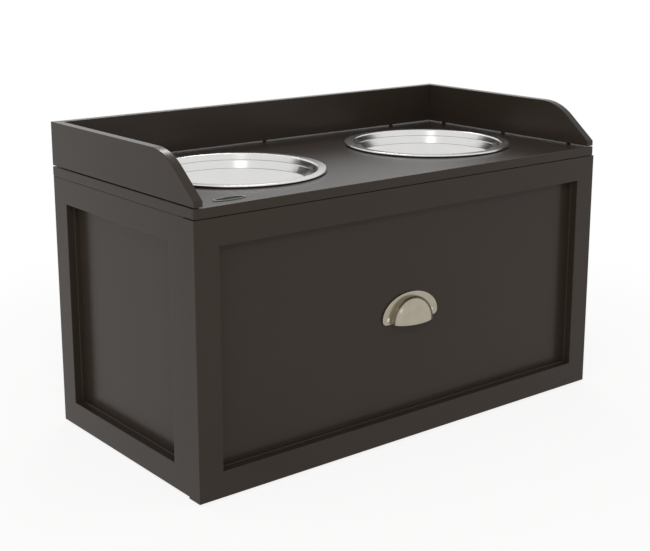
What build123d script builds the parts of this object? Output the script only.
from build123d import *
import os

# Elevated dog feeder: a cabinet on glides with one full-width drawer, a top board that
# carries two lift-out bowls, and a low gallery round the back and sides of the top.
# Millimetres. X runs to the right, Y to the rear and Z up. The origin lies on the floor
# under the middle of the whole feeder.

# ---- Cabinet and front ----
front_width = 680.0  # drawer front, edge to edge
front_proud = 1.7  # how far the front stands beyond each side of the cabinet
body_depth = 342.0  # face of the drawer front to the rear of the cabinet
cabinet_height = 340.8  # underside of the cabinet to the underside of the top board
glide_height = 3.0
glide_radius = 11.0
glide_inset = 28.0  # glide centre in from the edges of the bottom board
glide_chamfer = 0.7
drawer_gap = 1.0  # between the drawer front and the cabinet behind it
top_gap = 0.3  # between the drawer front and the top board

# ---- Framed fronts: four mitred members round a flush-backed panel ----
frame_thickness = 24.0
frame_face = 33.5  # width of the flat face of a member
step_depth = 9.5  # from the face to the ledge inside the frame
step_width = 2.0
panel_depth = 15.5  # from the face to the recessed panel
rabbet_width = 8.0
panel_fit = 0.4  # play of a panel in its rabbet, each side
outer_round = 1.4
inner_round = 0.8

# ---- Top board and gallery ----
top_thickness = 12.7
top_overhang = 0.7  # beyond each side of the cabinet
top_setback = 1.0  # behind the face of the drawer front
top_corner_radius = 2.5
top_round = 1.2  # eased edges of the top board
gallery_thickness = 12.0
gallery_rise = 58.8  # top surface to the top of the gallery
gallery_round = 0.8
gallery_reveal = 1.3  # shadow gap under the gallery
gallery_setback = 0.6  # wing nose behind the front edge of the top board
nose_rise = 8.4  # top surface to where the slope of a wing starts
slope_run = 62.2  # length over which the slope would reach full height
slope_radius = 78.0
nose_round = 2.0
spacer_radius = 3.0

# ---- Bowls ----
bowl_side_gap = 38.3  # gallery wing to the rim of a bowl
bowl_shift = 2.5  # bowl centres behind the middle of the open top
bowl_mouth_radius = 107.0
bowl_flange_width = 12.4
bowl_bead_radius = 1.6  # rolled edge of the rim
bowl_wall = 0.8
bowl_mouth_round = 2.5
bowl_first_crease = (2.7, 8.8)  # inset from the mouth, depth below the rim
bowl_second_crease = (6.8, 19.7)
bowl_crease_height = 1.4  # of the pressed line at each crease
bowl_crease_depth = 0.45
bowl_foot_inset = 33.0
bowl_foot_round = 30.0
bowl_depth = 52.0
bowl_seat_gap = 0.3  # rolled edge above the top board
bowl_hole_play = 2.0  # round the bowl wall

# ---- Inside boards ----
bottom_thickness = 12.0
back_thickness = 5.0
back_inset = 1.0
back_fit = 0.5
stretcher_thickness = 15.0
front_stretcher_width = 28.0
rear_stretcher_width = 45.0
inside_setback = 3.0  # bottom board and front stretcher behind the drawer front

# ---- Drawer box ----
box_thickness = 12.0
box_under_bowls = 48.0  # underside of the bowls to the upper edge of the box
box_rear_gap = 7.0  # to the back panel
box_lift = 5.0  # above the bottom board
box_bottom_thickness = 5.0
box_bottom_lift = 10.0  # groove above the lower edge of the box
groove_depth = 6.0
groove_play = 0.2

# ---- Drawer slides, three nested channels a side ----
slide_rear_gap = 9.0  # end of the slides to the back panel
slide_space = 12.7  # between the cabinet side and the drawer box
slide_height = 45.0
slide_sheet = 1.2
slide_play = 0.4
slide_centre = 110.0  # above the cabinet's underside
slide_lip_gap = 3.0  # lips of the outer channel to the drawer box
slide_round = 0.8

# ---- Cup pull ----
pull_width = 96.0
pull_height = 39.0
pull_flange_height = 2.8  # from the drawer panel
pull_flange_round = 1.1
pull_ear_radius = 7.0
cup_radius = 33.8
cup_projection = 23.0  # from the drawer panel
cup_neck = 5.0  # straight part of the cup, from the drawer panel
cup_wall = 1.8
cup_lip_round = 0.6
pull_lip_height = 156.8  # lip of the cup above the cabinet's underside
pull_screw_rise = 7.2  # above the lip
pull_screw_spacing = 76.2

# ---- Fasteners ----
dowel_radius = 4.0
dowel_half_length = 12.0
fastener_play = 0.05  # hole beyond a shank or dowel, all round
screw_radius = 1.75
screw_head_radius = 3.5
screw_head_height = 2.2
pan_head_radius = 3.2
pan_head_height = 1.5
pan_head_chamfer = 0.6
slide_screw_bite = 7.8
gallery_screw_bite = 18.0
top_screw_bite = 8.0
back_screw_bite = 14.0
box_screw_bite = 18.0
screw_cover = 2.5  # board left in front of the tip of a screw
row_screws = 3  # in each row of board screws
back_row_screws = 4
wing_screw_inset = 40.0  # from each end of a wing
gallery_screw_inset = 90.0  # from each side of the cabinet
top_screw_inset = 112.0  # from each end of a stretcher
back_screw_inset = 78.0
front_screw_inset = 72.0
front_screw_margin = 45.0  # from the upper and lower edges of the box
box_screw_margin = 60.0
pull_head_radius = 3.1
pull_head_height = 1.3
recess_depth = 0.8
recess_width = 0.8
recess_length = 3.4

# ---- Levels and planes that follow from the sizes above ----
back_margin = frame_face - rabbet_width  # flat back of a frame member
panel_thickness = frame_thickness - panel_depth
base_z = glide_height
cabinet_top = base_z + cabinet_height
top_z = cabinet_top + top_thickness
side_x = front_width / 2 - front_proud
inside_x = side_x - frame_thickness
pull_overhang = cup_projection - panel_depth
front_y = (pull_overhang - body_depth) / 2
rear_y = front_y + body_depth
front_back_y = front_y + frame_thickness
side_front_y = front_back_y + drawer_gap
inside_front_y = front_back_y + inside_setback
back_y = rear_y - back_inset - back_thickness
side_length = rear_y - side_front_y
side_mid_y = (side_front_y + rear_y) / 2
front_height = cabinet_height - top_gap
top_front_y = front_y + top_setback
wing_inside_x = side_x - gallery_thickness
bowl_rim_radius = bowl_mouth_radius + bowl_flange_width
bowl_hole_radius = bowl_mouth_radius + bowl_wall + bowl_hole_play
bowl_x = wing_inside_x - bowl_side_gap - bowl_rim_radius
bowl_y = (top_front_y + rear_y - gallery_thickness) / 2 + bowl_shift
bowl_points = [(-bowl_x, bowl_y), (bowl_x, bowl_y)]
rim_z = top_z + bowl_seat_gap + 2 * bowl_bead_radius
box_x = inside_x - slide_space
box_inside_x = box_x - box_thickness
box_z = base_z + bottom_thickness + box_lift
box_top = rim_z - bowl_depth - box_under_bowls
box_rear_y = back_y - box_rear_gap
slide_y = inside_front_y
slide_rear_y = back_y - slide_rear_gap
slide_z = base_z + slide_centre
outer_lip = slide_space - slide_lip_gap
middle_web = slide_sheet + pan_head_height + slide_play
middle_lip = slide_space - slide_sheet - slide_play
inner_lip = middle_web + slide_sheet + slide_play
pull_z = base_z + pull_lip_height
panel_face_y = front_y + panel_depth

pieces = {}


def keep(part, name):
    """Label a finished piece and remember it for writing."""
    part.label = name
    pieces[name] = part


def board(x_span, y_span, z_span):
    """A plain rectangular board between the given limits."""
    with BuildPart() as plain:
        with BuildSketch(Plane.XY.offset(z_span[0])):
            with Locations(((x_span[0] + x_span[1]) / 2, (y_span[0] + y_span[1]) / 2)):
                Rectangle(x_span[1] - x_span[0], y_span[1] - y_span[0])
        extrude(amount=z_span[1] - z_span[0])
    return plain.part


with BuildPart() as cross:
    with BuildSketch():
        Rectangle(recess_length, recess_width)
        Rectangle(recess_width, recess_length)
    extrude(amount=-recess_depth)


def screw(length):
    """Countersunk screw: head flush with Z = 0, shank down the -Z axis."""
    with BuildPart() as fastener:
        with BuildSketch(Plane.XZ):
            with BuildLine():
                Polyline(
                    (0, 0),
                    (screw_head_radius, 0),
                    (screw_radius, -screw_head_height),
                    (screw_radius, -length + screw_radius),
                    (0, -length),
                    close=True,
                )
            make_face()
        revolve(axis=Axis.Z)
        add(cross.part, mode=Mode.SUBTRACT)
    return fastener.part


def screw_hole(length):
    """The space that a countersunk screw takes, with play round its shank."""
    with BuildPart() as space:
        with BuildSketch(Plane.XZ):
            with BuildLine():
                Polyline(
                    (0, 0),
                    (screw_head_radius, 0),
                    (screw_radius + fastener_play, -screw_head_height),
                    (screw_radius + fastener_play, -length),
                    (0, -length),
                    close=True,
                )
            make_face()
        revolve(axis=Axis.Z)
    return space.part


def pan_screw(length):
    """Pan head screw: underside of the head on Z = 0, shank down the -Z axis."""
    with BuildPart() as fastener:
        with BuildSketch(Plane.XZ):
            with BuildLine():
                Polyline(
                    (0, pan_head_height),
                    (pan_head_radius - pan_head_chamfer, pan_head_height),
                    (pan_head_radius, pan_head_height - pan_head_chamfer),
                    (pan_head_radius, 0),
                    (screw_radius, 0),
                    (screw_radius, -length + screw_radius),
                    (0, -length),
                    close=True,
                )
            make_face()
        revolve(axis=Axis.Z)
        add(cross.part.moved(Location((0, 0, pan_head_height))), mode=Mode.SUBTRACT)
    return fastener.part


def shank_hole(length):
    """Hole for a pan head screw's shank, down the -Z axis."""
    with BuildPart() as space:
        with BuildSketch(Plane.XY):
            Circle(screw_radius + fastener_play)
        extrude(amount=-length)
    return space.part


def drill(part, tool, places):
    """Cut the tool out of the part at each place."""
    with BuildPart() as drilled:
        add(part)
        for place in places:
            add(tool.moved(place), mode=Mode.SUBTRACT)
    return drilled.part


def group(tool, places):
    """Copies of one fastener as the separate solids of one node."""
    with BuildPart() as copies:
        for place in places:
            add(tool.moved(place))
    return copies.part


def spread(count, half_span):
    """Evenly spaced offsets from -half_span to half_span."""
    return [half_span * (2 * step / (count - 1) - 1) for step in range(count)]


# ---- Fastener places: a fastener drives along the -Z axis of its place ----
bottom_z = base_z + bottom_thickness / 2
stretcher_z = cabinet_top - stretcher_thickness / 2
front_stretcher_y = inside_front_y + front_stretcher_width / 2
rear_stretcher_y = back_y - rear_stretcher_width / 2
rear_dowel_step = rear_stretcher_width / 4

dowel_rows = [
    (side_front_y + frame_face, bottom_z),
    (side_mid_y, bottom_z),
    (rear_y - frame_face, bottom_z),
    (front_stretcher_y, stretcher_z),
    (rear_stretcher_y - rear_dowel_step, stretcher_z),
    (rear_stretcher_y + rear_dowel_step, stretcher_z),
]
dowel_places = [
    Location((side * inside_x, y, z), (0, 90, 0)) for side in (-1, 1) for y, z in dowel_rows
]

wing_x = side_x - gallery_thickness / 2
wing_front_y = top_front_y + gallery_setback
wing_mid_y = (wing_front_y + rear_y) / 2
wing_screw_span = (rear_y - wing_front_y) / 2 - wing_screw_inset
gallery_back_y = rear_y - gallery_thickness / 2
gallery_points = [
    (side * wing_x, wing_mid_y + step) for side in (-1, 1) for step in spread(row_screws, wing_screw_span)
]
gallery_points += [(x, gallery_back_y) for x in spread(row_screws, side_x - gallery_screw_inset)]
gallery_screw_length = top_thickness + gallery_reveal + gallery_screw_bite
gallery_places = [Location((x, y, cabinet_top), (180, 0, 0)) for x, y in gallery_points]

top_screw_length = stretcher_thickness + top_screw_bite
top_screw_places = [
    Location((x, y, cabinet_top - stretcher_thickness), (180, 0, 0))
    for y in (front_stretcher_y, rear_stretcher_y)
    for x in spread(row_screws, inside_x - top_screw_inset)
]

back_screw_length = back_thickness + back_screw_bite
back_screw_places = [
    Location((x, back_y + back_thickness, z), (-90, 0, 0))
    for z in (bottom_z, stretcher_z)
    for x in spread(back_row_screws, inside_x - back_screw_inset)
]

front_screw_length = box_thickness + panel_thickness - screw_cover
front_screw_places = [
    Location((x, front_back_y + box_thickness, z), (-90, 0, 0))
    for z in (box_z + front_screw_margin, box_top - front_screw_margin)
    for x in spread(row_screws, box_inside_x - front_screw_inset)
]

box_screw_length = box_thickness + box_screw_bite
box_screw_places = [
    Location((side * box_x, y, z), (0, side * 90, 0))
    for side in (-1, 1)
    for y in (front_back_y + box_thickness / 2, box_rear_y - box_thickness / 2)
    for z in (box_z + box_screw_margin, box_top - box_screw_margin)
]

slide_screw_length = slide_sheet + slide_screw_bite
cabinet_slide_places = [
    Location((side * (inside_x - slide_sheet), y, slide_z), (0, -side * 90, 0))
    for side in (-1, 1)
    for y in ((slide_y + side_front_y + back_margin) / 2, (slide_rear_y + rear_y - back_margin) / 2)
]
drawer_slide_places = [
    Location((side * (box_x + slide_sheet), y, slide_z), (0, side * 90, 0))
    for side in (-1, 1)
    for y in (slide_y + slide_height, slide_rear_y - slide_height)
]

pull_screw_length = pull_flange_height + panel_thickness + box_thickness - screw_cover
pull_screw_places = [
    Location((x, panel_face_y - pull_flange_height, pull_z + pull_screw_rise), (90, 0, 0))
    for x in (-pull_screw_spacing / 2, pull_screw_spacing / 2)
]


# ---- Framed fronts ----
def frame_member(length):
    """Mitred member along X: outer edge on Z = 0, face on Y = 0 towards -Y."""
    reach = frame_face + step_width
    with BuildPart() as member:
        with BuildSketch(Plane.YZ.offset(-length / 2)) as section:
            with BuildLine():
                Polyline(
                    (0, 0),
                    (0, frame_face),
                    (step_depth, frame_face),
                    (step_depth, reach),
                    (panel_depth, reach),
                    (panel_depth, back_margin),
                    (frame_thickness, back_margin),
                    (frame_thickness, 0),
                    close=True,
                )
            make_face()
            fillet(section.vertices().sort_by_distance((0, 0))[0], radius=outer_round)
            fillet(section.vertices().sort_by_distance((0, frame_face))[0], radius=inner_round)
            fillet(section.vertices().sort_by_distance((step_depth, reach))[0], radius=inner_round)
        extrude(amount=length)
        with BuildSketch(Plane.XZ):
            with BuildLine():
                Polyline(
                    (-length / 2, 0),
                    (length / 2, 0),
                    (length / 2 - reach, reach),
                    (reach - length / 2, reach),
                    close=True,
                )
            make_face()
        extrude(amount=-frame_thickness, mode=Mode.INTERSECT)
    return member.part


def frame_panel(width, height):
    """Panel that fills the rabbets of a frame, flush with its back."""
    margin = back_margin + panel_fit
    return board(
        (margin - width / 2, width / 2 - margin),
        (panel_depth, frame_thickness),
        (margin - height / 2, height / 2 - margin),
    )


def framed_front(width, height, place, names):
    """Two rails, two stiles and a panel round the centre of a frame at its place."""
    rail = frame_member(width)
    stile = frame_member(height)
    bottom, top, left, right, panel = names
    return {
        bottom: rail.moved(place * Location((0, 0, -height / 2))),
        top: rail.moved(place * Location((0, 0, height / 2), (0, 180, 0))),
        left: stile.moved(place * Location((-width / 2, 0, 0), (0, 90, 0))),
        right: stile.moved(place * Location((width / 2, 0, 0), (0, -90, 0))),
        panel: frame_panel(width, height).moved(place),
    }


front_place = Location((0, front_y, base_z + front_height / 2))
front_names = [
    "drawer_front_bottom_rail",
    "drawer_front_top_rail",
    "drawer_front_left_stile",
    "drawer_front_right_stile",
    "drawer_front_panel",
]
front_parts = framed_front(front_width, front_height, front_place, front_names)
front_parts["drawer_front_panel"] = drill(
    front_parts["drawer_front_panel"],
    shank_hole(front_screw_length),
    front_screw_places,
)
front_parts["drawer_front_panel"] = drill(
    front_parts["drawer_front_panel"],
    shank_hole(pull_screw_length),
    pull_screw_places,
)
for name, part in front_parts.items():
    keep(part, name)

with BuildPart() as dowel_space:
    Cylinder(dowel_radius + fastener_play, 2 * dowel_half_length)

side_ends = {
    "left": (-1, ("rear_stile", "front_stile")),
    "right": (1, ("front_stile", "rear_stile")),
}
for side, (sign, ends) in side_ends.items():
    place = Location((sign * side_x, side_mid_y, base_z + cabinet_height / 2), (0, 0, sign * 90))
    names = [f"{side}_side_{part}" for part in ("bottom_rail", "top_rail", *ends, "panel")]
    for name, part in framed_front(side_length, cabinet_height, place, names).items():
        if name.endswith("rail"):
            part = drill(part, dowel_space.part, dowel_places)
        if name.endswith("stile"):
            part = drill(part, shank_hole(slide_screw_length), cabinet_slide_places)
        keep(part, name)

# ---- Boards inside the cabinet ----
bottom = board((-inside_x, inside_x), (inside_front_y, back_y), (base_z, base_z + bottom_thickness))
front_stretcher = board(
    (-inside_x, inside_x),
    (inside_front_y, inside_front_y + front_stretcher_width),
    (cabinet_top - stretcher_thickness, cabinet_top),
)
rear_stretcher = board(
    (-inside_x, inside_x),
    (back_y - rear_stretcher_width, back_y),
    (cabinet_top - stretcher_thickness, cabinet_top),
)
back = board(
    (back_fit - inside_x, inside_x - back_fit),
    (back_y, back_y + back_thickness),
    (base_z, cabinet_top),
)
with BuildPart() as bowl_space:
    Cylinder(bowl_hole_radius, stretcher_thickness)
bowl_space_places = [Location((x, y, stretcher_z)) for x, y in bowl_points]
bottom = drill(bottom, dowel_space.part, dowel_places)
keep(drill(bottom, screw_hole(back_screw_length), back_screw_places), "bottom_panel")
front_stretcher = drill(front_stretcher, bowl_space.part, bowl_space_places)
front_stretcher = drill(front_stretcher, dowel_space.part, dowel_places)
keep(drill(front_stretcher, screw_hole(top_screw_length), top_screw_places), "front_stretcher")
rear_stretcher = drill(rear_stretcher, bowl_space.part, bowl_space_places)
rear_stretcher = drill(rear_stretcher, dowel_space.part, dowel_places)
rear_stretcher = drill(rear_stretcher, screw_hole(back_screw_length), back_screw_places)
keep(drill(rear_stretcher, screw_hole(top_screw_length), top_screw_places), "rear_stretcher")
keep(drill(back, screw_hole(back_screw_length), back_screw_places), "back_panel")

with BuildPart() as dowel:
    Cylinder(dowel_radius, 2 * dowel_half_length)
keep(group(dowel.part, dowel_places), "carcass_dowels")
keep(group(screw(top_screw_length), top_screw_places), "top_panel_screws")
keep(group(screw(back_screw_length), back_screw_places), "back_panel_screws")

glide_x = inside_x - glide_inset
glide_points = [
    (x, y) for x in (-glide_x, glide_x) for y in (inside_front_y + glide_inset, back_y - glide_inset)
]
with BuildPart() as glides:
    with BuildSketch(Plane.XY):
        with Locations(*glide_points):
            Circle(glide_radius)
    extrude(amount=glide_height)
    chamfer(glides.edges().group_by(Axis.Z)[0], length=glide_chamfer)
keep(glides.part, "glides")

# ---- Top board ----
with BuildPart() as top_board:
    with BuildSketch(Plane.XY.offset(cabinet_top)):
        with Locations((0, (top_front_y + rear_y) / 2)):
            RectangleRounded(2 * (side_x + top_overhang), rear_y - top_front_y, top_corner_radius)
        with Locations(*bowl_points):
            Circle(bowl_hole_radius, mode=Mode.SUBTRACT)
    extrude(amount=top_thickness)
    rims = top_board.edges().filter_by(Plane.XY)
    fillet(rims, radius=top_round)
top_part = drill(top_board.part, screw_hole(gallery_screw_length), gallery_places)
keep(drill(top_part, screw_hole(top_screw_length), top_screw_places), "top_panel")

# ---- Gallery ----
gallery_foot = top_z + gallery_reveal
gallery_top = top_z + gallery_rise
gallery_hole = shank_hole(gallery_screw_length)
for side, sign in (("left", -1), ("right", 1)):
    with BuildPart() as wing:
        with BuildSketch(Plane.YZ.offset(sign * wing_x - gallery_thickness / 2)) as outline:
            with BuildLine():
                Polyline(
                    (rear_y, gallery_foot),
                    (rear_y, gallery_top),
                    (wing_front_y + slope_run, gallery_top),
                    (wing_front_y, top_z + nose_rise),
                    (wing_front_y, gallery_foot),
                    close=True,
                )
            make_face()
            bend = (wing_front_y + slope_run, gallery_top)
            nose = (wing_front_y, top_z + nose_rise)
            fillet(outline.vertices().sort_by_distance(bend)[0], radius=slope_radius)
            fillet(outline.vertices().sort_by_distance(nose)[0], radius=nose_round)
        extrude(amount=gallery_thickness)
        fillet(wing.faces().filter_by(Axis.X).edges(), radius=gallery_round)
    keep(drill(wing.part, gallery_hole, gallery_places), f"gallery_{side}_wing")

with BuildPart() as gallery_back:
    with BuildSketch(Plane.YZ.offset(-wing_inside_x)) as outline:
        with Locations((gallery_back_y, (gallery_foot + gallery_top) / 2)):
            Rectangle(gallery_thickness, gallery_top - gallery_foot)
        fillet(outline.vertices(), radius=gallery_round)
    extrude(amount=2 * wing_inside_x)
keep(drill(gallery_back.part, gallery_hole, gallery_places), "gallery_back")

with BuildPart() as spacers:
    with BuildSketch(Plane.XY.offset(top_z)):
        with Locations(*gallery_points):
            Circle(spacer_radius)
            Circle(screw_radius + fastener_play, mode=Mode.SUBTRACT)
    extrude(amount=gallery_reveal)
keep(spacers.part, "gallery_spacers")
keep(group(screw(gallery_screw_length), gallery_places), "gallery_screws")


# ---- Bowls ----
def bowl():
    """Pressed bowl on the Z axis, top of the rim on Z = 0."""
    bead_x = bowl_rim_radius - bowl_bead_radius
    creases = []
    for inset, depth in (bowl_first_crease, bowl_second_crease):
        x = bowl_mouth_radius - inset
        creases += [
            (x, -depth + bowl_crease_height / 2),
            (x + bowl_crease_depth, -depth),
            (x, -depth - bowl_crease_height / 2),
        ]
    foot = (bowl_mouth_radius - bowl_foot_inset, -bowl_depth + bowl_wall)
    with BuildPart() as pressed:
        with BuildSketch(Plane.XZ) as section:
            with BuildLine():
                inside = Polyline((bead_x, 0), (bowl_mouth_radius, 0), *creases, foot, (0, foot[1]))
                fillet(inside.vertices()[1], radius=bowl_mouth_round)
                fillet(vertices().sort_by_distance(foot)[0], radius=bowl_foot_round)
                offset(amount=bowl_wall, side=Side.LEFT)
            make_face()
            with Locations((bead_x, -bowl_bead_radius)):
                Circle(bowl_bead_radius)
        revolve(axis=Axis.Z)
    return pressed.part


plain_bowl = bowl()
for name, (x, y) in zip(("bowl_left", "bowl_right"), bowl_points):
    keep(plain_bowl.moved(Location((x, y, rim_z))), name)


# ---- Drawer slides ----
def channel(sign, web_x, lip_x, height):
    """Folded channel along Y: web at web_x and lips to lip_x from the cabinet side."""
    inner_x = web_x + slide_sheet if lip_x > web_x else web_x - slide_sheet
    with BuildPart() as folded:
        with BuildSketch(Plane.XZ.offset(-slide_y)) as section:
            with Locations((sign * (inside_x - (web_x + lip_x) / 2), slide_z)):
                Rectangle(abs(lip_x - web_x), height)
            fillet(section.vertices().filter_by(
                lambda corner: abs(corner.X - sign * (inside_x - web_x)) < slide_sheet / 2
            ), radius=slide_round)
            with Locations((sign * (inside_x - (inner_x + lip_x) / 2), slide_z)):
                Rectangle(abs(lip_x - inner_x), height - 2 * slide_sheet, mode=Mode.SUBTRACT)
        extrude(amount=slide_y - slide_rear_y)
    return folded.part


middle_height = slide_height - 2 * (slide_sheet + slide_play)
inner_height = middle_height - 2 * (slide_sheet + slide_play)
for side, sign in (("left", -1), ("right", 1)):
    outer = channel(sign, 0, outer_lip, slide_height)
    outer = drill(outer, shank_hole(slide_screw_length), cabinet_slide_places)
    keep(outer, f"slide_outer_{side}")
    keep(channel(sign, middle_web, middle_lip, middle_height), f"slide_middle_{side}")
    inner = channel(sign, slide_space, inner_lip, inner_height)
    keep(drill(inner, shank_hole(slide_screw_length), drawer_slide_places), f"slide_inner_{side}")
keep(group(pan_screw(slide_screw_length), cabinet_slide_places), "slide_screws_cabinet")
keep(group(pan_screw(slide_screw_length), drawer_slide_places), "slide_screws_drawer")

# ---- Drawer box ----
floor_z = box_z + box_bottom_lift
floor_space = board(
    (-box_inside_x - groove_depth, box_inside_x + groove_depth),
    (front_back_y + box_thickness - groove_depth, box_rear_y - box_thickness + groove_depth),
    (floor_z, floor_z + box_bottom_thickness + groove_play),
)
for side, sign in (("left", -1), ("right", 1)):
    x_span = sorted((sign * box_x, sign * box_inside_x))
    wall = board(x_span, (front_back_y, box_rear_y), (box_z, box_top))
    wall = drill(wall, floor_space, [Location()])
    wall = drill(wall, screw_hole(box_screw_length), box_screw_places)
    keep(drill(wall, shank_hole(slide_screw_length), drawer_slide_places), f"drawer_side_{side}")
inner_front = board(
    (-box_inside_x, box_inside_x),
    (front_back_y, front_back_y + box_thickness),
    (box_z, box_top),
)
inner_front = drill(inner_front, floor_space, [Location()])
inner_front = drill(inner_front, screw_hole(front_screw_length), front_screw_places)
inner_front = drill(inner_front, shank_hole(pull_screw_length), pull_screw_places)
keep(drill(inner_front, screw_hole(box_screw_length), box_screw_places), "drawer_inner_front")
drawer_back = board(
    (-box_inside_x, box_inside_x),
    (box_rear_y - box_thickness, box_rear_y),
    (box_z, box_top),
)
drawer_back = drill(drawer_back, floor_space, [Location()])
keep(drill(drawer_back, screw_hole(box_screw_length), box_screw_places), "drawer_back")
drawer_floor = board(
    (groove_play - box_inside_x - groove_depth, box_inside_x + groove_depth - groove_play),
    (
        front_back_y + box_thickness - groove_depth + groove_play,
        box_rear_y - box_thickness + groove_depth - groove_play,
    ),
    (floor_z, floor_z + box_bottom_thickness),
)
keep(drawer_floor, "drawer_bottom")
keep(group(screw(box_screw_length), box_screw_places), "drawer_box_screws")
keep(group(screw(front_screw_length), front_screw_places), "drawer_front_screws")


# ---- Cup pull ----
def cup(inset):
    """Half of a round cup above Z = 0, drawn in by the inset: a straight neck, then a dome."""
    radius = cup_radius - inset
    with BuildPart() as body:
        with BuildSketch():
            with Locations((0, -cup_neck)):
                Ellipse(radius, cup_projection - cup_neck - inset)
                Rectangle(radius, cup_projection, align=(Align.MIN, Align.MAX), mode=Mode.INTERSECT)
            Rectangle(radius, cup_neck, align=(Align.MIN, Align.MAX))
        revolve(axis=-Axis.Y, revolution_arc=180)
    return body.part


with BuildPart() as cup_pull:
    with BuildSketch(Plane.XZ) as outline:
        with Locations((0, pull_ear_radius)):
            Ellipse(pull_width / 2, pull_height - pull_ear_radius)
            Rectangle(
                pull_width, pull_height, align=(Align.CENTER, Align.MIN), mode=Mode.INTERSECT
            )
        Rectangle(pull_width, pull_ear_radius, align=(Align.CENTER, Align.MIN))
        fillet(outline.vertices().group_by(Axis.Y)[0], radius=pull_ear_radius)
    extrude(amount=pull_flange_height)
    fillet(cup_pull.faces().sort_by(Axis.Y)[0].edges(), radius=pull_flange_round)
    add(cup(0))
    add(cup(cup_wall), mode=Mode.SUBTRACT)
    lip = cup_pull.edges().group_by(Axis.Z)[0].filter_by(GeomType.ELLIPSE)
    fillet(lip, radius=cup_lip_round)
pull_part = cup_pull.part.moved(Location((0, panel_face_y, pull_z)))
keep(drill(pull_part, shank_hole(pull_screw_length), pull_screw_places), "cup_pull")

head_radius = (pull_head_radius**2 + pull_head_height**2) / (2 * pull_head_height)
with BuildPart() as pull_screw:
    with BuildSketch(Plane.XZ):
        with Locations((0, pull_head_height - head_radius)):
            Circle(head_radius)
        Rectangle(
            pull_head_radius,
            pull_head_height,
            align=(Align.MIN, Align.MIN),
            mode=Mode.INTERSECT,
        )
        Rectangle(screw_radius, pull_screw_length, align=(Align.MIN, Align.MAX))
    revolve(axis=Axis.Z)
    add(cross.part.moved(Location((0, 0, pull_head_height))), mode=Mode.SUBTRACT)
keep(group(pull_screw.part, pull_screw_places), "pull_screws")

# ---- Written pieces ----
os.makedirs("parts", exist_ok=True)
for name, part in pieces.items():
    export_step(part, f"parts/{name}.step")
